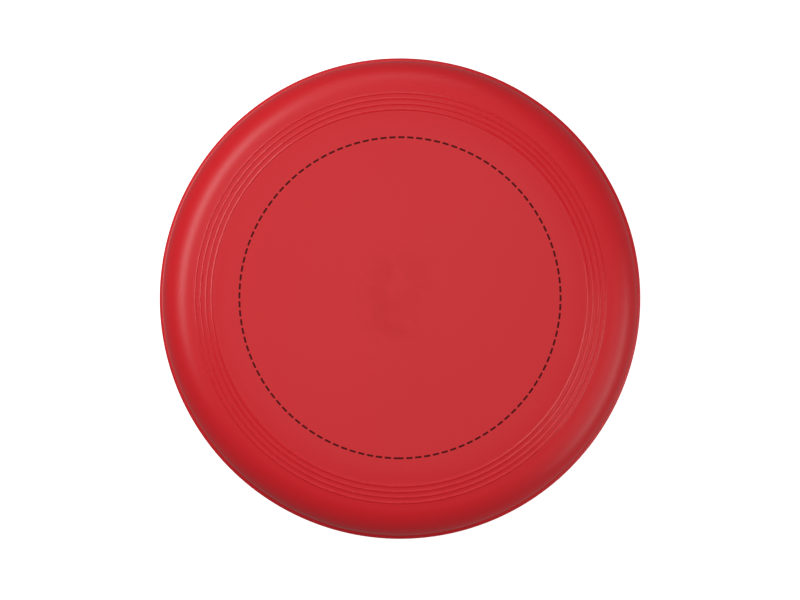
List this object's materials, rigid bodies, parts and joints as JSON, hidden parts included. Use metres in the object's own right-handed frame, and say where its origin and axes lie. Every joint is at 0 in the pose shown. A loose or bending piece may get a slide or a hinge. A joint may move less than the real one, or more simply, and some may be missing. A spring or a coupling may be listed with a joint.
{
  "type": "flying disc",
  "caption": "Round throwing disc: flat print panel, ringed thumb zone, rounded shoulder and a short wall ending in a projecting lip, hollow underneath.",
  "frame": {"origin": "centre of the plane that the disc's rim rests on", "axes": "+Z along the disc's axis, from the open underside to the print panel; the disc is round, so +X and +Y are any two square directions in the rest plane"},
  "size_m": [0.23, 0.23, 0.025],
  "materials": {
    "disc_plastic": "satin",
    "print_ink": "satin"
  },
  "bodies": {
    "root": {"disc": "disc_plastic"}
  },
  "joints": []
}
